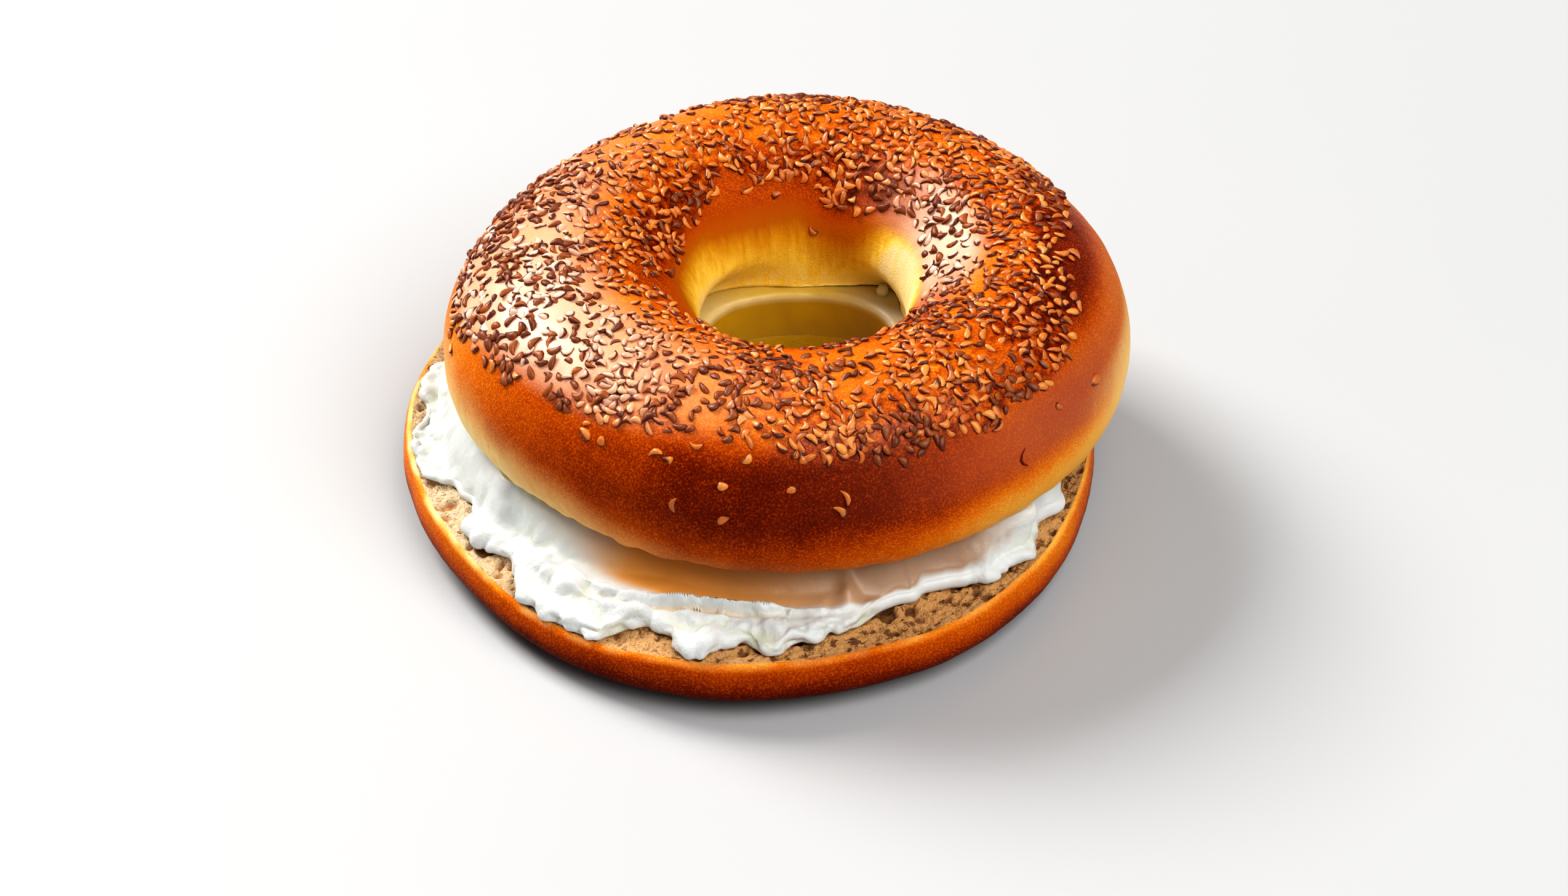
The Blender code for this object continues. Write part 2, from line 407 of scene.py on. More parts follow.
def crown_looks(points, turn, height, along):
    """The crown's looks, from its turn, its height and the way along the dome: how far its crust is baked,
    pale by the cut, dusty with flour, doughy in the hole, matt, glossy, under a painted sheen in a patch,
    and darkened by painted shade among the seeds. Bake and pale also hold a painted reflection along the
    right rim, bake is lower low on the flank, less baked and with painted light from below, and dough
    holds painted light on the hole's wall."""
    inside = smooth(along, 1.35, 1.6)
    outside = 1 - smooth(along, 0.9, 1.1)
    side = 0.38 + 0.55 * near(turn, 266, 40) + 0.08 * near(turn, 310, 26) - 0.18 * near(turn, 198, 16)
    # Lighter low on the flank: less baked there, with painted light from below as well.
    side -= (1 - smooth(height, 3 * MM, 13 * MM)) * (0.27 + 0.27 * near(turn, 314, 34))
    # Painted reflection: lighter along the right rim by the widest line.
    side -= 0.30 * near(turn, 350, 17) * (1 - smooth(along, 0.02, 0.13))
    side += 0.10 * near(turn, 208, 14)
    top = 0.38 + 0.50 * near(turn, 352, 32) * (1 - smooth(along, 0.8, 1.1))
    bake = side + (top - side) * smooth(along, 0.14, 0.5)
    bake += (0.62 - bake) * inside + 0.08 * noise(points, 20 * MM, 11) + 0.05 * noise(points, 7 * MM, 14)
    band = (3.5 + 6.0 * near(turn, 214, 20) + 9.0 * near(turn, 186, 20) + 2.5 * near(turn, 236, 14)) * MM
    pale = outside * (1 - smooth(height + 1.0 * MM * noise(points, 5 * MM, 12), 0.15 * band, 1.25 * band))
    pale *= 0.06 + 0.94 * near(turn, 205, 34)
    # Painted reflection: the pale colour along the right rim by the widest line.
    pale = np.maximum(pale, 0.5 * near(turn, 349, 14) * (1 - smooth(along, 0.01, 0.10)) * outside)
    dusty = outside * near(turn, 326, 32) * smooth(height, 8 * MM, 14 * MM)
    dusty *= 1 - smooth(along, 0.12, 0.34)
    uneven = (1.2 * noise(points, 6 * MM, 13) + 3.4 * near(turn, 66, 28)) * MM
    dough = smooth(along, 1.3, 1.6) * (1 - smooth(height + uneven, 3 * MM, 22 * MM))
    # Painted light: the hole's wall paler low on its right, where the window's light falls on it, and a
    # little on its left.
    painted_wall_light = 1.5 * near(turn, 14, 28) * (1 - smooth(height, 14 * MM, 20 * MM))
    painted_wall_light += 0.35 * near(turn, 168, 30) * (1 - smooth(height, 14 * MM, 19 * MM))
    dough = np.clip(dough + inside * painted_wall_light, 0, 1.3)
    # The patch where the painted sheen lies.
    patch = window_sheen(turn, height, along)
    matt = np.clip(dusty + 0.4 * pale + 0.5 * inside, 0, 1)
    gloss = np.clip(0.15 * patch + 0.35 * smooth(along, 0.15, 0.5) * (1 - inside), 0, 1) * (1 - dusty)
    # Painted shade among the seeds: the crust darker where seeds lie thick, outside the sheen's patch.
    bed = seed_cover(points, turn, height, along) * np.clip(1 - patch, 0, 1)
    return {
        "bake": bake, "pale": pale, "dusty": dusty, "dough": dough,
        "matt": matt, "gloss": gloss, "patch": patch, "bed": bed,
    }


# --- The heel -------------------------------------------------------------------------------------------

HEEL_COLUMNS = 860
HEEL_CRUST_STEPS = (16, 12)
HEEL_RIM_WIDTH = 13 * MM
HEEL_FACE_STEPS = (46, 14)
HEEL_WALL_STEPS = 12
HEEL_UNDER_STEPS = 8
HEEL_LIP = 0.98
# Large pores in the cut face: (turn in degrees, mm in from the outline, radius in mm, depth in mm).
CRUMB_HOLLOWS = (
    (204, 3.6, 1.3, 0.9), (197, 2.6, 1.0, 0.7), (217, 5.0, 2.5, 1.5), (222, 3.8, 0.7, 0.8),
    (231, 4.4, 2.4, 1.3), (276, 5.2, 1.0, 1.6), (291, 7.0, 1.6, 1.2), (295, 6.4, 1.1, 1.0),
    (302, 6.0, 0.8, 0.9), (307, 4.4, 1.2, 0.8),
)


def large_pores(away, turn):
    """How deep the cut face lies in its large pores, in mm: from a pore's middle its depth falls as e to
    the minus fourth power of the squared distance over the squared radius."""
    total = 0.0
    for degrees, middle, radius, depth in CRUMB_HOLLOWS:
        apart = (away - middle * MM) ** 2 + (HEEL_RADIUS * (turn - radians(degrees))) ** 2
        total += depth * np.exp(-((apart / (radius * MM) ** 2) ** 4))
    return total

def heel_surface():
    """The heel's grid: a smooth crust, and a cut face of torn crumb, rough all over and pitted with pores.

    Returns the points, the turn and height of each, how deep it lies in a large pore, and each row's kind:
    0 crust, 1 crumb, 2 the hole's wall, 3 the underside.
    """
    width = HEEL_RADIUS - HOLE_RADII[0]
    flat = (HEEL_RADIUS - HEEL_FLAT_RADIUS) / width
    rim = HEEL_RIM_INSET / width
    fine = HEEL_RIM_WIDTH / width
    parts = [
        quarter((flat, 0.0), (0.0, HEEL_BULGE_HEIGHT), 2.2, HEEL_CRUST_STEPS[0], True),
        quarter((0.0, HEEL_BULGE_HEIGHT), (rim, HEEL_HEIGHT), 2.0, HEEL_CRUST_STEPS[1], False),
        line((rim, HEEL_HEIGHT), (fine, HEEL_HEIGHT), HEEL_FACE_STEPS[0]),
        line((fine, HEEL_HEIGHT), (1.0, HEEL_HEIGHT), HEEL_FACE_STEPS[1]),
        [(1.0, HEEL_HEIGHT)],
        line((1.0, HEEL_HEIGHT - CORNER), (HEEL_LIP, 0.0), HEEL_WALL_STEPS),
        line((HEEL_LIP, 0.0), (flat, 0.0), HEEL_UNDER_STEPS),
    ]
    kinds = np.concatenate([np.full(len(part), kind) for part, kind in zip(parts, (0, 0, 1, 1, 2, 2, 3))])
    section = np.concatenate(parts)
    turn = turns(HEEL_COLUMNS)
    share = section[:, :1] + 0 * turn
    height = section[:, 1:] + 0 * turn
    hole = hole_outline(turn)
    points = stand(between(heel_outline(turn), hole, share), height)
    crumb = (kinds == 1)[:, None] + 0 * turn
    points[..., 2] -= rim_drop(points) * smooth(height / HEEL_HEIGHT)
    crust = (kinds == 0)[:, None] * smooth(height, 0, 2 * MM)
    plan = points[..., :2]
    torn = 0.34 * MM * layered(plan, 2.0 * MM, 21, 3, 0.75)
    holes = 1.0 * MM * pits(plan, 2.5 * MM, 0.5, 25) + 0.5 * MM * pits(plan, 1.3 * MM, 0.5, 35)
    within = smooth(share, rim, rim + 0.02) * (1 - smooth(share, 0.9, 0.97))
    hollow = large_pores(share * width, turn)
    relief = crumb * within * (torn - holes - 0.15 * MM - hollow * MM)
    hollow = np.clip(hollow + holes / MM - 0.15, 0, 1)
    relief += crust * (0.35 * MM * noise(points, 24 * MM, 41) + 0.12 * MM * noise(points, 7 * MM, 42))
    relief += crust * 0.04 * MM * noise(points, 1.5 * MM, 43)
    points = points + normals(points) * relief[..., None]
    return points, turn + 0 * height, height, hollow, kinds


def heel_looks(points, turn, height, hollow, kinds):
    """The heel's looks: its crust is darkest below, in painted shade, lighter on its left and right sides in
    painted light, and pale in places along its rim; its crumb is lighter on the left, and wall marks the
    hole's side."""
    up = height / HEEL_HEIGHT
    wall = (kinds == 2)[:, None] + 0 * turn
    lit_sides = np.clip(near(turn, 190, 40) + near(turn, 328, 30), 0, 1)
    # Painted shade darkens the crust towards the bottom; painted light lightens it on the lit sides.
    bake = 1.12 - 0.46 * smooth(up, 0.15, 0.95) - 0.34 * lit_sides * smooth(up, 0.1, 0.8)
    bake -= (0.30 + 0.16 * noise(points, 4 * MM, 47)) * smooth(up, 0.88, 1.0)
    bake += 0.07 * noise(points, 15 * MM, 44) + 0.04 * noise(points * (1, 1, 4), 7 * MM, 45)
    pale = (1 - wall) * (0.12 + 0.95 * near(turn, 194, 34)) * smooth(up, 0.90, 1.0)
    pale *= smooth(noise(points, 3 * MM, 46), -0.5, 0.4)
    return {
        "bake": bake, "pale": pale, "dusty": 0.0, "dough": 0.0, "matt": wall * 0.6,
        "gloss": 0.0, "wall": wall, "light": near(turn, 200, 34), "hollow": hollow,
    }


# --- The cream cheese -----------------------------------------------------------------------------------

CREAM_COLUMNS = 900
CREAM_LIP_STEPS = 14
CREAM_TOP_STEPS = 62
CREAM_UNDER_STEPS = 16
CREAM_HOLE_STEPS = 12
CREAM_BOTTOM_STEPS = 5
CREAM_TOP_WIDTH = 20 * MM
LIP_LEAN = radians(50)
CURD_WARP = 1.3 * MM
CREAM_EDGE_RADIUS = 1.3 * MM
CREAM_SEAM = 0.04 * MM
# Hills and dips of the cream: (turn in degrees, mm in under the crown, half widths in degrees and in mm,
# height in mm).
CREAM_MOUNDS = (
    (214, -0.8, 2.2, 2.0, 1.6), (219.5, -3.0, 2.6, 2.2, -1.3), (181, -7.5, 2.6, 1.8, -1.3),
    (187, -9.0, 1.6, 1.4, -0.9), (315.5, -1.8, 2.2, 1.5, -1.4), (285.5, 0.6, 1.6, 2.4, 1.5),
    (276, -1.8, 3.2, 1.6, -0.8), (289.5, -1.6, 1.6, 1.2, 0.5),
)


def cream_inset(turn):
    """How far the cream stops short of the heel's outline: an even inset, less its lobes, plus its
    gulfs."""
    return CREAM_INSET - bells(turn, CREAM_LOBES) + bells(turn, CREAM_GULFS)


def under_crown(points):
    """How far each point lies inside the crown's cut outline in plan, negative outside it."""
    plan = points[..., :2] - PLAN_SHIFT - CROWN_CENTRE
    turn = np.arctan2(plan[..., 1], plan[..., 0])
    return CROWN_RADIUS + swell(turn, CROWN_SWELL) - CROWN_CUT_INSET - np.linalg.norm(plan, axis=-1)


def mound(turn, inside, degrees, middle, half_turn, half_width):
    """A round hill one unit high on the cream: a bell of the turn times a bell of the way in under the
    crown."""
    return near(turn, degrees, half_turn) * np.exp(-(((inside - middle * MM) / (half_width * MM)) ** 2))


def curd(points):
    """Lumpy curd: two noises, and two made of rounded lumps with sharp creases between them, all read at
    points that a coarser noise has pushed about."""
    warp = np.stack([noise(points, 5 * MM, 54 + axis) for axis in range(3)], -1)
    pushed = points + CURD_WARP * warp
    lobe = np.abs(noise(pushed, 4.0 * MM, 61)) - 0.3
    small_lobe = np.abs(noise(pushed, 1.9 * MM, 62)) - 0.3
    lumps = 0.6 * noise(pushed, 6.0 * MM, 63) + 1.5 * lobe + 0.6 * small_lobe
    return (lumps + 0.10 * noise(pushed, 0.8 * MM, 64)) * MM


def knife_marks(turn, inside):
    """Where the crown stands clear of the cream in front, from 0 to 1, how far in under it the smooth
    spread begins, and the raised line and the groove that a knife left there, each one unit high."""
    clear = np.minimum(near(turn, 258, 20) + near(turn, 280, 18), 1.0)
    clear = np.minimum(clear + 0.55 * near(turn, 303, 7), 1.0)
    brink = (-2.4 - 3.4 * near(turn, 243, 11) + 0.5 * near(turn, 275, 7)) * MM
    ridge = smooth(inside, brink - 0.7 * MM, brink) - smooth(inside, brink, brink + 0.9 * MM)
    groove = near(turn, 258, 14) * np.exp(-(((inside - brink + 1.3 * MM) / (0.35 * MM)) ** 2))
    return clear, brink, near(turn, 260, 18) * ridge, groove

def curdy(turn, inside, clear, brink):
    """How curdy the cream is left: not at all where the knife has spread it or under the crown, and most
    on the right, where it passes 1."""
    spread = smooth(inside, brink - 0.3 * MM, brink + 0.8 * MM) * np.minimum(clear * 1.4, 1.0)
    calm = smooth(inside, -8.0 * MM, -4.0 * MM) * near(turn, 200, 30) * 0.8
    amount = (1 - spread) * (1 - calm) * (1 - smooth(inside, -1.0 * MM, 2.0 * MM))
    amount *= 1 - 0.5 * smooth(inside, -5.0 * MM, -2.0 * MM)
    amount *= 1 - 0.8 * near(turn, 258, 13) * smooth(inside, brink - 2.6 * MM, brink - 1.0 * MM)
    return amount * (1 + near(turn, 318, 9))

def cream_surface():
    """The cream's grid: a bulging ragged lip, a lumpy shelf, and a smooth spread that runs in under the
    crown.

    The lip is an arc of a circle from its foot to its top. The spread rises to the crown by a smoothstep
    of the way in under it: at once at the sides and back, and only far under it in front, where the crown
    stands clear. A knife has left a raised line with a groove before it along the spread's edge in front,
    and a crease on its right.
    """
    turn = turns(CREAM_COLUMNS)
    first = np.concatenate([heel_outline(turn, cream_inset(turn)), 0 * turn[..., None]], -1)
    ragged = 0.9 * MM * noise(first, 6 * MM, 51) + 0.9 * MM * noise(first, 3.2 * MM, 52)
    ragged += 0.22 * MM * noise(first, 1.4 * MM, 53)
    outer = heel_outline(turn, np.maximum(cream_inset(turn) + ragged, 1.7 * MM))
    inner = hole_outline(turn)
    width = np.linalg.norm(outer - inner, axis=-1)
    low = HEEL_HEIGHT + CREAM_SEAM
    roof = CROWN_CUT_HEIGHT - CREAM_SEAM - low
    lip = (2.7 - 1.3 * near(turn, 190, 36) - 0.5 * near(turn, 297, 12)) * MM
    arc = lip / (1 + sin(LIP_LEAN))
    lean = np.linspace(-LIP_LEAN, pi / 2, CREAM_LIP_STEPS, endpoint=False)[:, None]
    reach = np.linspace(0, 1, CREAM_TOP_STEPS, endpoint=False)[:, None]
    under = np.linspace(0, 1, CREAM_UNDER_STEPS, endpoint=False)[:, None]
    side = np.append(np.linspace(0, 2, CREAM_HOLE_STEPS - 1, endpoint=False), 1.99)[:, None]
    bottom = np.linspace(0, 1, CREAM_BOTTOM_STEPS, endpoint=False)[:, None]
    wall = width - CREAM_EDGE_RADIUS
    edge = np.minimum(side, 1) * pi / 2
    away = np.concatenate([
        arc * (1 - np.cos(lean)),
        arc + (CREAM_TOP_WIDTH - arc) * reach,
        CREAM_TOP_WIDTH + (wall - CREAM_TOP_WIDTH) * under,
        wall + CREAM_EDGE_RADIUS * np.sin(edge),
        width + (arc - width) * bottom,
    ])
    points = stand(between(outer, inner, away / width), low)
    inside = under_crown(points)
    top_rows = slice(CREAM_LIP_STEPS, CREAM_LIP_STEPS + CREAM_TOP_STEPS)
    shown = np.zeros((len(away), 1))
    shown[1 : top_rows.stop] = 1.0
    top = np.zeros((len(away), 1))
    top[top_rows] = 1.0

    clear, brink, ridge, groove = knife_marks(turn, inside)
    rise = smooth(inside, (-5.0 + 5.5 * clear) * MM, (0.2 + 6.6 * clear) * MM)
    shelf = lip + 0.9 * MM * smooth(away, 2 * MM, 6 * MM) - 0.9 * MM * groove
    rising = shelf + (roof - shelf) * rise + 1.7 * MM * ridge
    height = np.concatenate([
        arc * (sin(LIP_LEAN) + np.sin(lean)),
        rising[top_rows],
        roof + 0 * under * turn,
        (roof - CREAM_EDGE_RADIUS * (1 - np.cos(edge))) * (1 - np.maximum(side - 1, 0)) + 0 * turn,
        0 * bottom * turn,
    ])
    height += top * MM * sum(tall * mound(turn, inside, *place) for *place, tall in CREAM_MOUNDS)
    crease = smooth(turn + inside * 4.0, radians(297.0), radians(297.6)) * near(turn, 300, 8)
    height += top * crease * smooth(inside, brink, brink + 1.0 * MM) * 0.55 * MM
    points[..., 2] = low + height

    open_part = shown * curdy(turn, inside, clear, brink)
    foot = smooth(height, 0, 0.8 * MM)
    strokes = noise(points * (1, 1, 2.0), 8 * MM, 65) * 0.3 * MM + noise(points, 3 * MM, 67) * 0.06 * MM
    curds = curd(points)
    relief = foot * (1.2 * open_part * curds + shown * np.maximum(1 - open_part, 0) * strokes)
    wall_rows = np.zeros((len(away), 1))
    wall_rows[-CREAM_BOTTOM_STEPS - CREAM_HOLE_STEPS : -CREAM_BOTTOM_STEPS] = 1.0
    relief += wall_rows * smooth(height, 0, 2 * MM) * 0.25 * MM * noise(points, 3 * MM, 66)
    uneven = 0.12 * MM * (noise(points, 3 * MM, 68) - 0.8)
    relief += foot * smooth(away, width - 6 * MM, width - 3 * MM) * (1 - wall_rows) * uneven
    points = points + normals(points) * relief[..., None]
    points[..., 2] = np.clip(points[..., 2], low, low + roof) - rim_drop(points)
    # Painted shade under the crown: beige where the crown shades the spread, orange in front, where the
    # crust's warm light fills the deepest shade.
    fade = (0.9 + 3.0 * near(turn, 240, 10)) * MM
    beige = top * smooth(inside, brink + 0.3 * fade, brink + 1.3 * fade)
    beige *= np.minimum(clear * 1.5 + 0.5 * near(turn, 312, 7), 1.0)
    deep = top * near(turn, 252, 24)
    # Painted shade: the cream's wall in the hole, olive gold with the bread's warm light.
    gold = (wall_rows + 0 * turn) * (1 - smooth(height, roof - 1.6 * MM, roof - 0.3 * MM))
    # Painted shade with the bread's warm light, yellow, on the cream's upper edge in the hole; less of it at
    # its right end and at the left.
    ledge = smooth(away, width - 9 * MM, width - 7 * MM) * smooth(height, roof - 1.6 * MM, roof - 0.3 * MM)
    ledge *= 1 - 0.7 * near(turn, 28, 24) - 0.25 * near(turn, 150, 24)
    # Painted shade in the curd's dips, less at the left, and in the knife's groove.
    dip = open_part * smooth(-curds, 0.0, 0.9 * MM) * (1 - 0.6 * near(turn, 205, 25))
    dip = np.maximum(dip, top * groove)
    # Painted shade in the knife's groove and in the dip between the right lobes.
    beige = np.maximum(beige, top * (0.5 * groove + 0.7 * mound(turn, inside, 315.5, -1.8, 2.4, 1.6)))
    return points, {
        "beige": beige, "deep": deep, "gold": gold, "ledge": ledge,
        "lump": np.minimum(open_part, 1), "dip": dip,
    }


# --- Sesame ---------------------------------------------------------------------------------------------

SEED_RINGS = 5
SEED_SIDES = 8
# Seeds that lie alone below the field, as (turn in degrees, height over the crown's cut in mm).
STRAY_SEEDS = (
    (246, 19.8), (248.5, 19.2), (253, 21.8), (259, 17.4), (259.5, 12.2), (262, 21.2), (270, 17.4),
    (278, 13.8), (279, 16.2), (273, 21.6), (276, 21.2), (322, 17.0), (333, 16.0), (190, 15.6),
    (193, 14.4), (232, 18.7), (236, 18.7), (251, 13.4),
)
# Seeds that lie alone on the wall of the hole, the same way.
THROAT_SEEDS = (
    (114, 20.0), (107, 20.6), (101, 18.6), (94, 20.8), (83, 12.6), (77, 17.9), (72, 20.0), (69, 18.6),
    (62, 17.2), (55, 17.9),
)


# A crescent nick in the crust, placed like a stray seed: its length, width and depth, and its bend
# sideways.
NICK = (312, 12.8)
NICK_SIZE = (3.4 * MM, 0.55 * MM, 0.5 * MM)
NICK_BEND = 1.5 * MM
# A crumb of cream on the ledge in the hole: its place in plan, its height over the crown's cut, its size,
# the way it stands up, and its turn about that.
CREAM_CRUMB_PLACE = (23.3 * MM, 25.4 * MM)
CREAM_CRUMB_LIFT = 0.5 * MM
CREAM_CRUMB_SIZE = (2.8 * MM, 2.2 * MM, 2.2 * MM)
CREAM_CRUMB_UP = (0.1, -0.1, 1.0)
CREAM_CRUMB_SPIN = 0.3


def seed_shape():
    """A sesame seed one unit long: rings of vertices along it, round in section, whose half width is the
    sine of the way along, drawn in towards the pointed end. It closes at a pole at each end.

    Returns the points and the faces.
    """
    way = np.arange(1, SEED_RINGS + 1) * pi / (SEED_RINGS + 1)
    along = -np.cos(way)
    half = np.sin(way) * (1 - 0.34 * along)
    round_turn = np.arange(SEED_SIDES) * 2 * pi / SEED_SIDES
    ring = np.stack([
        (along[:, None] + 0 * round_turn) * 0.5,
        half[:, None] * np.cos(round_turn) * 0.5,
        half[:, None] * np.sin(round_turn) * 0.5,
    ], -1).reshape(-1, 3)
    points = np.concatenate([ring, [(-0.5, 0, 0), (0.5, 0, 0)]])
    index = np.arange(SEED_RINGS * SEED_SIDES).reshape(SEED_RINGS, SEED_SIDES)
    turned = np.roll(index, -1, 1)
    quads = np.stack([index[:-1], index[1:], turned[1:], turned[:-1]], -1).reshape(-1, 4)
    start, end = len(points) - 2, len(points) - 1
    first = np.stack([np.full(SEED_SIDES, start), index[0], turned[0]], -1)
    last = np.stack([np.full(SEED_SIDES, end), turned[-1], index[-1]], -1)
    return points, [*quads[:, ::-1].tolist(), *first[:, ::-1].tolist(), *last[:, ::-1].tolist()]


def seed_cover(points, turn, height, along):
    """How thickly seeds lie at each point of the crown, from 0 to 1: over the field's edge outside, and
    down to a height in the hole that changes with the turn, thinner in patches."""
    inner_edge = 19.5 + 2.6 * near(turn, 118, 28) + 3.5 * near(turn, 262, 60) - 4.0 * near(turn, 72, 7)
    inner_edge = (inner_edge - 3.0 * near(turn, 1, 9) - 2.0 * near(turn, 168, 14)) * MM
    edge = np.where(along > 1, inner_edge, field_edge(turn)) + 1.3 * MM * noise(points, 6 * MM, 71)
    cover = smooth(height, edge - 0.8 * MM, edge + 1.2 * MM)
    patch = smooth(layered(points, 9 * MM, 72, 2), -0.7, 0.2)
    return cover * (0.10 + 0.90 * patch)


def scatter(points, chance, count, spacing, rng):
    """Numbers of grid points drawn with the given chance, in order, each kept only where no kept one lies
    nearer than its spacing."""
    drawn = rng.choice(len(points), size=count * 4, replace=False, p=chance / chance.sum())
    kept = np.empty((count, 3))
    numbers = []
    for number in drawn:
        place = points[number]
        if not numbers or ((kept[: len(numbers)] - place) ** 2).sum(1).min() > spacing[number] ** 2:
            kept[len(numbers)] = place
            numbers.append(number)
            if len(numbers) == count:
                break
    return np.array(numbers)


def nearest(turn, height, along, degrees, mm, in_hole=False):
    """The number of the grid point nearest to a turn in degrees and a height in mm, on the crown's outside
    or on the wall of its hole."""
    elsewhere = (along > 1) != in_hole
    return int((((np.degrees(turn) - degrees) * MM) ** 2 + (height - mm * MM) ** 2 + elsewhere).argmin())


def choose_seeds(seed, rng):
    """The seeds' places on the crown, the normals there, how strong the painted sheen is round each, and
    which are dark.

    A grid point's chance is the cover of seeds times the area round it, and a noise changes the spacing.
    Dark seeds clump: they are those with the highest sum of a noise and a random number.
    """
    points, normal, turn, height, along = crown_surface()
    step_along = np.linalg.norm(np.roll(points, -1, 1) - points, axis=-1)
    step_over = np.linalg.norm(np.roll(points, -1, 0) - points, axis=-1)
    chance = (seed_cover(points, turn, height, along) * step_along * step_over).ravel()
    patch = window_sheen(turn, height, along).ravel()
    outside = (along < 1.1).ravel()
    chance *= 1 + 0.3 * patch * outside
    strays = [nearest(turn, height, along, *stray) for stray in STRAY_SEEDS]
    strays += [nearest(turn, height, along, *stray, in_hole=True) for stray in THROAT_SEEDS]
    points, normal = points.reshape(-1, 3), normal.reshape(-1, 3)
    spacing = seed.spacing * (1 + (0.2 - 0.18 * outside) * patch + 0.35 * noise(points, 4 * MM, 83))
    numbers = np.concatenate([scatter(points, chance, seed.count, spacing, rng), strays])
    places, patch, outside = points[numbers], patch[numbers], outside[numbers]
    clump = noise(places, 11 * MM, 81) * (1 - 0.6 * patch * outside)
    clump += 0.6 * rng.uniform(-1, 1, len(places))
    # More seeds are dark in the sheen's patch: painted shade for seeds whose shaded sides show there.
    clump += 0.15 * patch * outside
    dark = clump > np.quantile(clump, 1 - seed.dark_share)
    dark[-len(strays) :] = False
    return places, normal[numbers], patch, dark

def lay_seeds(places, normal, size, rng):
    """Copies of the seed shape, each lying on the surface at a random turn about its normal, tipped a
    little, and sunk to about half its thickness. Returns the points, the faces, and how far each point is
    from its seed's foot, which painted shade darkens, from about 0 to 1: its height in the seed, measured
    along a random slant."""
    shape, shape_faces = seed_shape()
    count = len(places)
    spin = rng.uniform(0, 2 * pi, count)
    helper = np.where(np.abs(normal[:, 2:]) < 0.9, [[0, 0, 1.0]], [[1.0, 0, 0]])
    side = np.cross(helper, normal)
    side /= np.linalg.norm(side, axis=1, keepdims=True)
    up = normal + rng.normal(0, 0.20, (count, 3))
    up /= np.linalg.norm(up, axis=1, keepdims=True)
    long = side * np.cos(spin)[:, None] + np.cross(normal, side) * np.sin(spin)[:, None]
    long -= up * (long * up).sum(1, keepdims=True)
    long /= np.linalg.norm(long, axis=1, keepdims=True)
    axes = np.stack([long, np.cross(up, long), up], 1)
    scale = np.array(size) * rng.uniform(0.66, 1.2, (count, 3))
    scaled = shape[None] * scale[:, None]
    bend = rng.uniform(-0.8, 0.8, count)[:, None] * scale[:, 1:2]
    scaled[..., 1] += bend * (0.5 - 4 * shape[None, :, 0] ** 2)
    lift = scale[:, 2] * rng.uniform(-0.06, 0.26, count)
    points = np.einsum("nvi,nij->nvj", scaled, axes) + (places + normal * lift[:, None])[:, None]
    faces = [[corner + first for corner in face] for first in range(0, count * len(shape), len(shape))
             for face in shape_faces]
    lean = rng.uniform(radians(15), radians(60), count)
    slant = rng.uniform(0, 2 * pi, count)
    tilt = np.stack([np.sin(lean) * np.cos(slant), np.sin(lean) * np.sin(slant), np.cos(lean)])
    return points, faces, 0.5 + (shape @ tilt).T


def lay_grain(place, normal, size, spin, bend):
    """One seed shape of the given size lying on the surface: spun about its normal from level, and bent
    sideways by a parabola. Returns the points and the faces."""
    shape, faces = seed_shape()
    side = np.cross([0, 0, 1.0], normal)
    side /= np.linalg.norm(side)
    long = side * cos(spin) + np.cross(normal, side) * sin(spin)
    scaled = shape * np.array(size)
    scaled[:, 1] += bend * (0.5 - 4 * shape[:, 0] ** 2)
    return place + scaled @ np.stack([long, np.cross(normal, long), normal]), faces


# --- Materials ------------------------------------------------------------------------------------------


CRUST_SPECULAR = 0.04

class Wire:
    """A socket of a node tree that takes part in sums: each operator adds a Math node and returns its
    result."""

    def __init__(self, tree, socket=None):
        self.tree = tree
        self.socket = socket

    def node(self, kind, settings=(), sockets=(), output=0):
        """Adds a node: first its settings, with a ramp's stops among them, then its sockets, then its
        output."""
        added = self.tree.nodes.new(kind)
        for name, value in dict(settings).items():
            if name == "stops":
                set_stops(added.color_ramp, value)
            else:
                setattr(added, name, value)
        for name, value in dict(sockets).items():
            if isinstance(value, Wire):
                self.tree.links.new(value.socket, added.inputs[name])
            else:
                added.inputs[name].default_value = value
        return Wire(self.tree, added.outputs[output])

    def math(self, operation, first, second):
        return self.node("ShaderNodeMath", {"operation": operation}, {0: first, 1: second})

    def __add__(self, other):
        return self.math("ADD", self, other)

    def __sub__(self, other):
        return self.math("SUBTRACT", self, other)

    def __rsub__(self, other):
        return self.math("SUBTRACT", other, self)

    def __mul__(self, other):
        return self.math("MULTIPLY", self, other)

    __radd__ = __add__
    __rmul__ = __mul__


def set_stops(ramp, stops):
    """Gives a colour ramp its stops, as (position, colour) pairs."""
    while len(ramp.elements) < len(stops):
        ramp.elements.new(1.0)
    for element, (position, colour) in zip(ramp.elements, stops):
        element.position = position
        element.color = (*colour, 1.0)


def look(paint, name):
    """A float attribute of the surface."""
    return paint.node("ShaderNodeAttribute", {"attribute_name": name}, output="Fac")


def grain(paint, size, detail=2.0, roughness=0.5, stretch=(1, 1, 1)):
    """Noise from about 0 to 1 whose spots measure size metres, stretched by a factor along each axis."""
    place = paint.node("ShaderNodeTexCoord", output="Object")
    scaled = paint.node("ShaderNodeMapping", {}, {"Vector": place, "Scale": [1 / s for s in stretch]})
    sockets = {"Vector": scaled, "Scale": 1 / size, "Detail": detail, "Roughness": roughness}
    return paint.node("ShaderNodeTexNoise", {}, sockets, "Fac")


def blend(paint, first, second, factor):
    """A colour between two, each a wire or a plain colour, at a factor held between 0 and 1."""
    ends = [value if isinstance(value, Wire) else (*value, 1.0) for value in (first, second)]
    settings = {"data_type": "RGBA", "clamp_factor": True}
    return paint.node("ShaderNodeMix", settings, {0: factor, 6: ends[0], 7: ends[1]}, 2)

def shades(paint, value, stops, colours):
    """The colour that a ramp with the given stops and their colours has at a value."""
    return paint.node("ShaderNodeValToRGB", {"stops": list(zip(stops, colours))}, {0: value}, "Color")


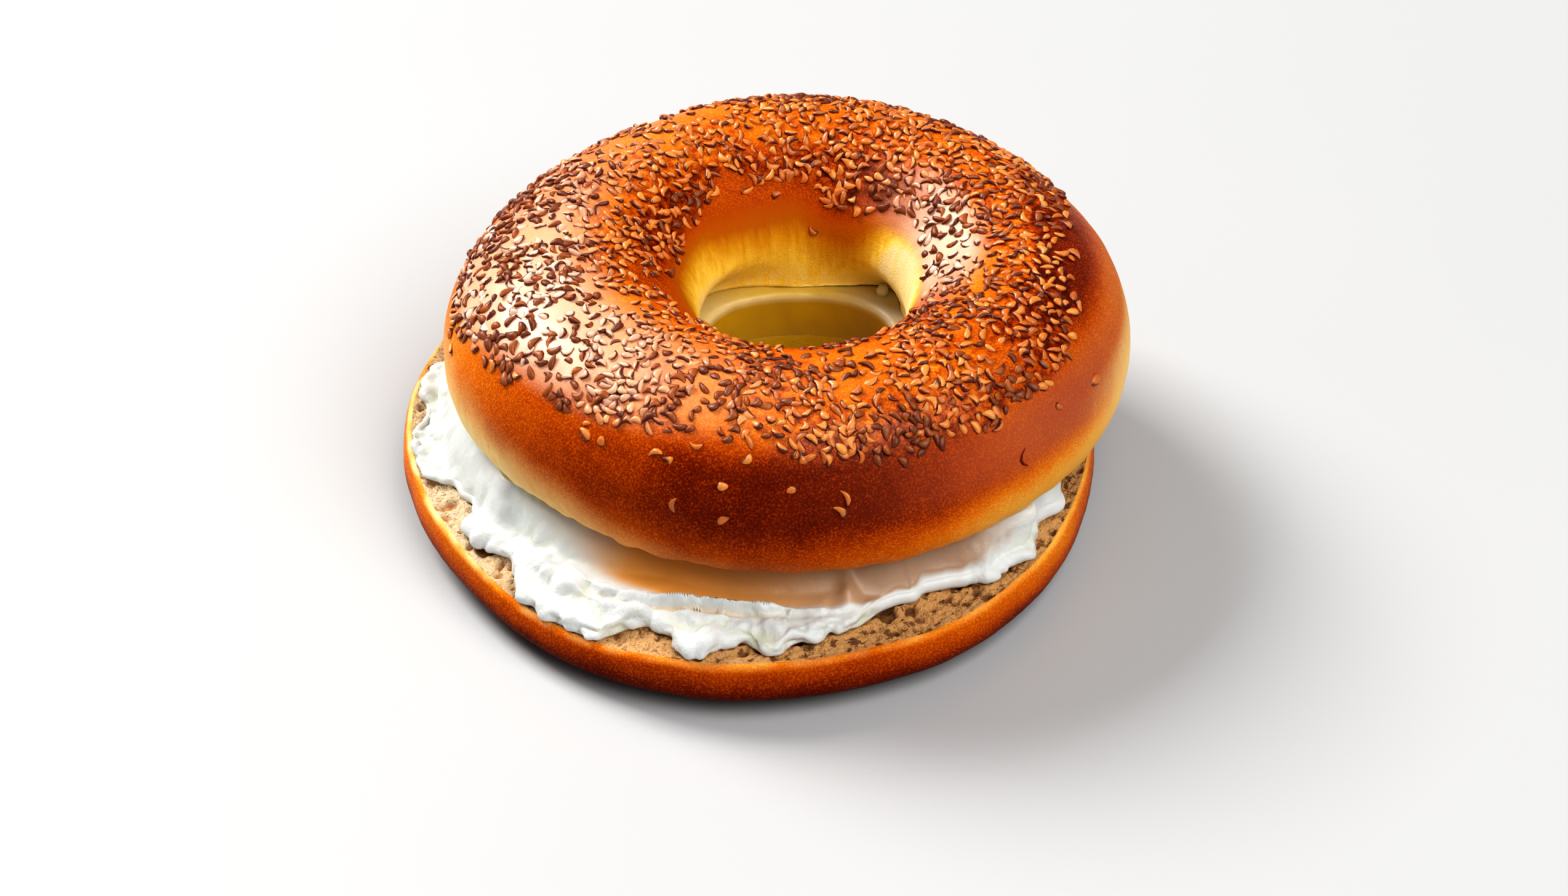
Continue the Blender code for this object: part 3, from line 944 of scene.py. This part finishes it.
def step(paint, value, low, high):
    """The smoothstep of a value between two bounds, from 0 to 1."""
    sockets = {0: value, 1: low, 2: high}
    return paint.node("ShaderNodeMapRange", {"interpolation_type": "SMOOTHSTEP"}, sockets)


def bump(paint, height, distance):
    """A normal tilted by a height field, in metres for a height of 1."""
    return paint.node("ShaderNodeBump", {}, {"Height": height, "Distance": distance, "Strength": 1.0})


def make_material(name, painter, settings, **constants):
    """A Principled material: constants on its own sockets, and what changes over the surface from the
    painter."""
    material = bpy.data.materials.new(name)
    material.use_nodes = True
    tree = material.node_tree
    shader = tree.nodes["Principled BSDF"]
    for socket, value in constants.items():
        shader.inputs[socket.replace("_", " ").title().replace("Ior", "IOR")].default_value = value
    for socket, wire in painter(Wire(tree), settings).items():
        tree.links.new(wire.socket, shader.inputs[socket])
    return material


def paint_crust(paint, crust):
    """Baked crust: brown by the bake, paler by the cut, dusty pink-brown where matt, yellow in the hole,
    with a painted sheen in a patch, painted shade among the seeds and painted glints in its speckle.
    """
    # Fine speckle: grain in colour and relief, with painted glints where it is brightest.
    speckle_and_glints = grain(paint, 0.36 * MM, 2.0, 0.65)
    mottle = grain(paint, 7 * MM, 4.0, 0.6)
    blot = grain(paint, 1.4 * MM, 2.0, 0.5)
    tone = look(paint, "bake") + (mottle - 0.5) * 0.25 + (speckle_and_glints - 0.5) * 0.9
    # Painted shade among the seeds, darker where they lie thick, in blots; painted glints where the speckle
    # is brightest.
    tone = tone + look(paint, "bed") * ((blot - 0.5) * 1.3 + 0.14) - step(paint, speckle_and_glints, 0.60, 0.70) * 0.20
    bakes = (crust.pale, crust.golden, crust.brown, crust.dark, crust.burnt)
    colour = shades(paint, tone, (0.0, 0.33, 0.6, 0.82, 1.0), bakes)
    dough = look(paint, "dough")
    streak = grain(paint, 1.0 * MM, 3.0, 0.6, (1, 1, 10))
    walls = (crust.brown, crust.throat_top, crust.throat, crust.throat_low, crust.throat_pale)
    pallor = dough * 0.75 + (streak - 0.5) * 0.50 * dough
    in_hole = shades(paint, pallor, (0.0, 0.22, 0.41, 0.68, 1.0), walls)
    colour = blend(paint, colour, in_hole, step(paint, dough, 0.0, 0.16))
    colour = blend(paint, colour, crust.wall, look(paint, "wall"))
    # Painted sheen: a pale colour over the patch for the window's reflection.
    colour = blend(paint, colour, crust.glaze, look(paint, "patch") * (0.80 + (mottle - 0.5) * 0.6))
    colour = blend(paint, colour, crust.dusty, look(paint, "dusty") * (0.8 + (speckle_and_glints - 0.5) * 0.7))
    slant = grain(paint, 1.6 * MM, 3.0, 0.6, (4, 1, 2))
    colour = blend(paint, colour, crust.band, look(paint, "pale") * (1.0 + (slant - 0.5) * 0.8))
    roughness = 0.40 + look(paint, "matt") * 0.2 + (speckle_and_glints - 0.5) * 0.2
    relief = speckle_and_glints * 0.6 + grain(paint, 1.6 * MM, 2.0, 0.5) * 0.4
    normal = bump(paint, relief, 0.18 * MM)
    gloss = look(paint, "gloss")
    return {"Base Color": colour, "Roughness": roughness, "Normal": normal, "Coat Weight": gloss}


def paint_crumb(paint, crumb):
    """Torn crumb: tan, browner in its pores with painted shade, with toasted spots."""
    coarse = grain(paint, 0.6 * MM, 3.0, 0.7)
    broad = grain(paint, 6 * MM, 2.0, 0.5)
    # Painted shade of fine pores: dark where a coarse noise is low, and in spots.
    colour = blend(paint, crumb.deep, crumb.tan, step(paint, coarse, 0.20, 0.50))
    spots = step(paint, grain(paint, 2.2 * MM, 3.0, 0.55), 0.54, 0.62)
    colour = blend(paint, colour, crumb.deep, spots * 0.9)
    colour = blend(paint, colour, crumb.toasted, step(paint, broad, 0.55, 0.75) * look(paint, "light"))
    colour = blend(paint, colour, crumb.light, look(paint, "light") * step(paint, coarse, 0.30, 0.52) * 0.9)
    pore = blend(paint, crumb.deep, crumb.toasted, look(paint, "light"))
    # Painted shade in the pores cut into the face, by how deep they lie.
    colour = blend(paint, colour, pore, step(paint, look(paint, "hollow"), 0.2, 0.8) * 0.85)
    return {"Base Color": colour, "Roughness": 0.62 - broad * 0.25, "Normal": bump(paint, coarse, 0.6 * MM)}


def paint_cream(paint, cream):
    """Cream cheese: white, with painted shade, beige, on its knife-smoothed faces under the crown and in its
    dips, painted shade and warm light, yellow, in the hole, and a fine curd.
    """
    fine = grain(paint, 1.1 * MM, 3.0, 0.55)
    # Painted shade in dips.
    shaded = look(paint, "dip") * 0.8 + step(paint, fine, 0.5, 0.8) * 0.15
    colour = blend(paint, cream.white, cream.shade, shaded)
    # Painted shade under the crown, beige, turning orange with the crust's warm light where it is deepest.
    spread = blend(paint, cream.beige, cream.deep, look(paint, "deep"))
    colour = blend(paint, colour, spread, look(paint, "beige"))
    # Painted shade, olive gold with the bread's warm light, on the cream's wall in the hole.
    colour = blend(paint, colour, cream.gold, look(paint, "gold"))
    # Painted shade with the bread's warm light on the cream's upper edge in the hole.
    colour = blend(paint, colour, cream.ledge, look(paint, "ledge"))
    lump = look(paint, "lump")
    relief = fine * (0.25 + lump * 0.75)
    return {"Base Color": colour, "Roughness": 0.38 + lump * 0.12, "Normal": bump(paint, relief, 0.22 * MM)}


def paint_seed(paint, seed):
    """Toasted sesame: each seed its own tone by its toast, pale on top in places with a painted sheen, and
    dark brown all round its foot with painted shade where it sits in the crust."""
    fine = grain(paint, 0.5 * MM, 2.0, 0.5)
    tone = look(paint, "toast") + (fine - 0.5) * 0.25
    glaze = look(paint, "glaze")
    colour = shades(paint, tone, (0.0, 0.5, 0.8, 1.0), (seed.light, seed.golden, seed.dark, seed.black))
    # Painted sheen on the tops of seeds in the patch.
    colour = blend(paint, colour, seed.glazed, glaze)
    cap = look(paint, "cap") + (fine - 0.5) * 0.3 - glaze * 0.1
    # Painted shade: dark brown round each seed's foot, by its height along a random slant.
    colour = blend(paint, seed.foot, colour, step(paint, cap, 0.52, 0.74))
    return {"Base Color": colour, "Roughness": 0.40 + fine * 0.2, "Normal": bump(paint, fine, 0.05 * MM)}


def paint_nick(paint, crust):
    """The nick's inside, dark brown."""
    return {"Base Color": blend(paint, crust.burnt, crust.dark, grain(paint, 0.5 * MM))}


def paint_floor(paint, stage):
    """A plain pale surface with the faintest unevenness."""
    return {"Base Color": blend(paint, stage.floor, (1.0, 1.0, 1.0), grain(paint, 0.2, 2.0) * 0.06)}


# --- Settings -------------------------------------------------------------------------------------------


def colour_setting(name, description, default):
    """A colour property."""
    return FloatVectorProperty(
        name=name, description=description, default=default, subtype="COLOR", size=3, min=0.0, max=1.0
    )


def length_setting(name, description, default):
    """A length property, in metres."""
    return FloatProperty(
        name=name, description=description, default=default, min=0.0, unit="LENGTH", precision=5
    )

def angle_setting(name, description, default):
    """An angle property, in radians."""
    return FloatProperty(name=name, description=description, default=default, subtype="ANGLE")


class BagelCrustSettings(bpy.types.PropertyGroup):
    """Colours of the crust."""

    pale: colour_setting("Pale", "Crust that has hardly browned", (0.84, 0.42, 0.06))
    golden: colour_setting("Golden", "Lightly browned crust", (0.74, 0.20, 0.006))
    brown: colour_setting("Brown", "Well browned crust", (0.48, 0.080, 0.001))
    dark: colour_setting("Dark", "Dark crust", (0.21, 0.022, 0.001))
    burnt: colour_setting("Burnt", "The darkest crust", (0.09, 0.006, 0.0005))
    dusty: colour_setting("Dusty", "Matt crust, dulled by flour", (0.40, 0.10, 0.052))
    band: colour_setting("Band", "The pale band along the cut", (1.0, 0.77, 0.36))
    throat_top: colour_setting("Throat Top", "The hole's wall below the seeds", (0.48, 0.14, 0.002))
    throat: colour_setting("Throat", "The hole's wall at half its height", (0.66, 0.33, 0.016))
    throat_low: colour_setting("Throat Low", "The hole's wall at its foot", (0.94, 0.66, 0.095))
    throat_pale: colour_setting("Throat Pale", "The hole's wall where it hardly baked", (0.90, 0.78, 0.44))
    wall: colour_setting("Wall", "The heel's wall in the hole", (0.62, 0.40, 0.022))
    # Painted sheen: a pale colour for the window's reflection on the crust.
    glaze: colour_setting("Glaze", "Pale glazed crust that faces the window", (0.86, 0.585, 0.43))


class BagelCrumbSettings(bpy.types.PropertyGroup):
    """Colours of the cut crumb."""

    tan: colour_setting("Tan", "The crumb's raised parts", (0.70, 0.39, 0.150))
    # Painted shade: the crumb in its pores.
    deep: colour_setting("Deep", "The crumb in its pores", (0.16, 0.055, 0.010))
    toasted: colour_setting("Toasted", "Toasted spots", (0.54, 0.23, 0.060))
    light: colour_setting("Light", "Paler crumb at the left", (0.80, 0.66, 0.45))


class BagelCreamSettings(bpy.types.PropertyGroup):
    """Colours of the cream cheese."""

    white: colour_setting("White", "Fresh cream cheese", (0.70, 0.72, 0.705))
    shade: colour_setting("Shade", "Curd in its dips", (0.62, 0.63, 0.47))
    # Painted shade: the spread in the crown's shade.
    beige: colour_setting("Beige", "The spread under the crown", (0.46, 0.31, 0.21))
    # Painted shade, orange with the crust's warm light, where the spread lies deepest under the crown.
    deep: colour_setting("Deep", "The spread where it is most soaked", (0.84, 0.41, 0.095))
    # Painted shade with the bread's warm light on the cream's wall in the hole.
    gold: colour_setting("Gold", "Cream in the hole, soaked by the bread", (0.50, 0.30, 0.010))
    # Painted shade with the bread's warm light: the cream's upper edge in the hole.
    ledge: colour_setting("Ledge", "The cream's upper edge in the hole", (0.56, 0.41, 0.08))


class BagelSeedSettings(bpy.types.PropertyGroup):
    """Sizes and colours of the sesame."""

    count: IntProperty(
        name="Count", description="Golden and dark seeds together", default=2350, min=1, max=2400
    )
    length: length_setting("Length", "A seed's length", 2.5 * MM)
    width: length_setting("Width", "A seed's width", 1.35 * MM)
    thickness: length_setting("Thickness", "A seed's thickness", 1.0 * MM)
    spacing: length_setting("Spacing", "The least distance between two seeds' middles", 1.35 * MM)
    dark_share: FloatProperty(
        name="Dark Share", description="Share of dark seeds", default=0.30, subtype="FACTOR"
    )
    light: colour_setting("Light", "The palest seeds", (0.80, 0.34, 0.07))
    golden: colour_setting("Golden", "Most seeds", (0.62, 0.17, 0.015))
    dark: colour_setting("Dark", "Well toasted seeds", (0.34, 0.085, 0.011))
    black: colour_setting("Black", "The darkest seeds", (0.16, 0.034, 0.006))
    # Painted sheen: a pale colour on seeds' tops for the window's reflection.
    glazed: colour_setting("Glazed", "Seeds' tops where the crust is glazed", (0.90, 0.68, 0.53))
    # Painted shade round a seed's foot, where it sits in the crust.
    foot: colour_setting("Foot", "Round a seed's foot", (0.14, 0.022, 0.003))


class BagelStageSettings(bpy.types.PropertyGroup):
    """Camera, lights and floor."""

    elevation: angle_setting("Elevation", "The camera's angle over the horizon", radians(38.2))
    roll: angle_setting("Roll", "The camera's tilt about its view", radians(0.5))
    distance: length_setting("Distance", "From the camera to what it looks at", 516.5 * MM)
    lens: FloatProperty(name="Lens", description="Focal length in mm", default=70.64, unit="CAMERA")
    key_power: FloatProperty(name="Key Power", description="The window light in watts", default=40.0, min=0.0)
    fill_power: FloatProperty(name="Fill Power", description="The light from above in watts", default=30.0)
    sky: FloatProperty(name="Sky", description="Brightness of the even surroundings", default=0.14, min=0.0)
    floor: colour_setting("Floor", "The pale floor", (0.505, 0.508, 0.512))


# --- Operators ------------------------------------------------------------------------------------------


class BAGEL_OT_crown(bpy.types.Operator):
    """Build the crown's bread: crust outside and in the hole, crumb on the cut"""

    bl_idname = "bagel.crown"
    bl_label = "Crown"

    def execute(self, context):
        points, _, turn, height, along = crown_surface()
        rows, columns = height.shape
        finish = {"coat_roughness": 0.28, "specular_ior_level": CRUST_SPECULAR}
        crust = make_material("crust_crown", paint_crust, context.scene.bagel_crust, **finish)
        crumb = make_material("crumb_crown", paint_crumb, context.scene.bagel_crumb)
        looks = crown_looks(points, turn, height, along)
        on_face = np.repeat(np.arange(rows) >= rows - CROWN_FACE_STEPS, columns)
        faces = ring_faces(rows, columns)
        make_piece("crown_bread", points, faces, [crust, crumb], ["crown"], looks, on_face)
        return {"FINISHED"}


class BAGEL_OT_heel(bpy.types.Operator):
    """Build the heel's bread: crust below and round it, torn crumb on the cut"""

    bl_idname = "bagel.heel"
    bl_label = "Heel"

    def execute(self, context):
        points, turn, height, hollow, kinds = heel_surface()
        rows, columns = height.shape
        finish = {"coat_roughness": 0.25, "specular_ior_level": CRUST_SPECULAR}
        crust = make_material("crust_heel", paint_crust, context.scene.bagel_crust, **finish)
        crumb = make_material("crumb_heel", paint_crumb, context.scene.bagel_crumb)
        looks = heel_looks(points, turn, height, hollow, kinds)
        on_face = np.repeat(kinds == 1, columns)
        faces = ring_faces(rows, columns)
        make_piece("heel_bread", points, faces, [crust, crumb], ["heel"], looks, on_face)
        return {"FINISHED"}


class BAGEL_OT_cream(bpy.types.Operator):
    """Build the cream cheese"""

    bl_idname = "bagel.cream"
    bl_label = "Cream Cheese"

    def execute(self, context):
        points, looks = cream_surface()
        finish = {"subsurface_weight": 0.15, "subsurface_scale": 2 * MM}
        paint = make_material("cream_cheese", paint_cream, context.scene.bagel_cream, **finish)
        faces = ring_faces(*points.shape[:2])
        make_piece("cream_cheese_spread", points, faces, [paint], ["cream_cheese"], looks)
        return {"FINISHED"}


class BAGEL_OT_seeds(bpy.types.Operator):
    """Scatter sesame over the crown, golden seeds and dark ones"""

    bl_idname = "bagel.seeds"
    bl_label = "Sesame"

    def execute(self, context):
        seed = context.scene.bagel_seed
        rng = np.random.default_rng(17)
        places, normal, patch, dark = choose_seeds(seed, rng)
        size = (seed.length, seed.width, seed.thickness)
        kinds = (("golden", ~dark, 0.12, 0.66, 0.4), ("dark", dark, 0.74, 1.0, 0.12))
        for name, chosen, least, most, coat in kinds:
            laid, faces, cap = lay_seeds(places[chosen], normal[chosen], size, rng)
            toast = rng.uniform(least, most, len(laid))[:, None]
            # The sheen look is the painted sheen on golden seeds in the patch.
            looks = {"toast": toast, "cap": cap, "glaze": (~dark * patch)[chosen][:, None]}
            paint = make_material(f"sesame_{name}", paint_seed, seed, coat_weight=coat, coat_roughness=0.22)
            make_piece(f"sesame_{name}", laid, faces, [paint], (), looks)
        return {"FINISHED"}


class BAGEL_OT_marks(bpy.types.Operator):
    """Add the crescent nick in the crust and the crumb of cream on the ledge in the hole"""

    bl_idname = "bagel.marks"
    bl_label = "Marks"

    def execute(self, context):
        points, normal, turn, height, along = crown_surface()
        number = nearest(turn, height, along, *NICK)
        place, up = points.reshape(-1, 3)[number], normal.reshape(-1, 3)[number]
        laid, faces = lay_grain(place, up, NICK_SIZE, pi / 2, NICK_BEND)
        paint = make_material("crust_nick", paint_nick, context.scene.bagel_crust, specular_ior_level=0.1)
        make_piece("crust_nick", laid, faces, [paint])
        place = stand(np.array(CREAM_CRUMB_PLACE), CROWN_CUT_HEIGHT + CREAM_CRUMB_LIFT)
        laid, faces = lay_grain(place, np.array(CREAM_CRUMB_UP), CREAM_CRUMB_SIZE, CREAM_CRUMB_SPIN, 0.0)
        looks = dict.fromkeys(("beige", "deep", "gold", "ledge", "lump", "dip"), 0.0)
        paint = make_material("cream_crumb", paint_cream, context.scene.bagel_cream)
        make_piece("cream_crumb", laid, faces, [paint], (), looks)
        return {"FINISHED"}


# The lamps' ways from the object's middle, their distance, sizes and colour, half the floor's side, and
# what the camera looks at, from the middle.
WINDOW_WAY = (-0.57, 0.48, 0.67)
OVERHEAD_WAY = (0.42, -0.42, 0.80)
LAMP_DISTANCE = 2.0
WINDOW_SIZE = 0.9
OVERHEAD_SIZE = 1.6
WINDOW_COLOUR = (1.0, 0.985, 0.96)
WHITE = (1.0, 1.0, 1.0)
FLOOR_HALF = 3.0
TARGET_SHIFT = (3.6 * MM, -23.3 * MM, 0.0)

class BAGEL_OT_stage(bpy.types.Operator):
    """Set up the pale floor, the soft lights and the camera"""

    bl_idname = "bagel.stage"
    bl_label = "Stage"

    def execute(self, context):
        stage = context.scene.bagel_stage
        middle = (CAD_BOX[0] + CAD_BOX[1]) / 2
        make_floor(stage, CAD_BOX[0].z)
        window = middle + Vector(WINDOW_WAY) * LAMP_DISTANCE
        overhead = middle + Vector(OVERHEAD_WAY) * LAMP_DISTANCE
        add_light("window", window, middle, WINDOW_SIZE, stage.key_power, WINDOW_COLOUR)
        add_light("overhead", overhead, middle, OVERHEAD_SIZE, stage.fill_power, WHITE)
        make_camera(stage, middle + Vector(TARGET_SHIFT))
        world = bpy.data.worlds.new("surroundings")
        world.use_nodes = True
        background = world.node_tree.nodes["Background"]
        background.inputs["Color"].default_value = (1.0, 1.0, 1.0, 1.0)
        background.inputs["Strength"].default_value = stage.sky
        context.scene.world = world
        context.scene.view_settings.view_transform = "Standard"
        context.scene.view_settings.look = "High Contrast"
        context.scene.view_settings.exposure = 0.0
        return {"FINISHED"}


def make_floor(stage, height):
    """A wide flat square at the given height."""
    corners = [(FLOOR_HALF * x, FLOOR_HALF * y, height) for x, y in ((-1, -1), (1, -1), (1, 1), (-1, 1))]
    mesh = bpy.data.meshes.new("floor")
    mesh.from_pydata(corners, [], [(0, 1, 2, 3)])
    mesh.materials.append(make_material("floor", paint_floor, stage, roughness=0.6))
    floor = bpy.data.objects.new("floor", mesh)
    bpy.context.scene.collection.objects.link(floor)


def add_light(name, place, target, size, power, colour):
    """A square area light at a place, facing the target."""
    light = bpy.data.lights.new(name, "AREA")
    light.size = size
    light.energy = power
    light.color = colour
    lamp = bpy.data.objects.new(name, light)
    lamp.location = place
    lamp.rotation_euler = (target - place).to_track_quat("-Z", "Y").to_euler()
    bpy.context.scene.collection.objects.link(lamp)


def make_camera(stage, target):
    """A camera that looks along +Y and down by its elevation at the target, rolled a little about its
    view."""
    data = bpy.data.cameras.new("camera")
    data.lens = stage.lens
    data.sensor_width = 36.0
    data.clip_start = 0.01
    camera = bpy.data.objects.new("camera", data)
    forward = Vector((0.0, cos(stage.elevation), -sin(stage.elevation)))
    turned = Matrix.Rotation(pi / 2 - stage.elevation, 4, "X") @ Matrix.Rotation(-stage.roll, 4, "Z")
    camera.matrix_world = Matrix.Translation(target - forward * stage.distance) @ turned
    bpy.context.scene.collection.objects.link(camera)
    bpy.context.scene.camera = camera


class BAGEL_PT_panel(bpy.types.Panel):
    """The bagel's pieces, each with a button that builds it"""

    bl_idname = "BAGEL_PT_panel"
    bl_label = "Bagel"
    bl_space_type = "VIEW_3D"
    bl_region_type = "UI"
    bl_category = "Bagel"

    def draw(self, context):
        for operator in OPERATORS:
            self.layout.operator(operator.bl_idname)
        for name in SETTINGS:
            self.layout.label(text=name.replace("bagel_", "").title())
            for setting in SETTINGS[name].__annotations__:
                self.layout.prop(getattr(context.scene, name), setting)


SETTINGS = {
    "bagel_crust": BagelCrustSettings,
    "bagel_crumb": BagelCrumbSettings,
    "bagel_cream": BagelCreamSettings,
    "bagel_seed": BagelSeedSettings,
    "bagel_stage": BagelStageSettings,
}
OPERATORS = (BAGEL_OT_stage, BAGEL_OT_crown, BAGEL_OT_heel, BAGEL_OT_cream, BAGEL_OT_seeds, BAGEL_OT_marks)


def register():
    for item in (*SETTINGS.values(), *OPERATORS, BAGEL_PT_panel):
        bpy.utils.register_class(item)
    for name, group in SETTINGS.items():
        setattr(bpy.types.Scene, name, PointerProperty(type=group))


def unregister():
    for name in SETTINGS:
        delattr(bpy.types.Scene, name)
    for item in reversed((*SETTINGS.values(), *OPERATORS, BAGEL_PT_panel)):
        bpy.utils.unregister_class(item)


def main():
    register()
    bpy.ops.bagel.stage()
    bpy.ops.bagel.crown()
    bpy.ops.bagel.heel()
    bpy.ops.bagel.cream()
    bpy.ops.bagel.seeds()
    bpy.ops.bagel.marks()


if __name__ == "__main__":
    main()
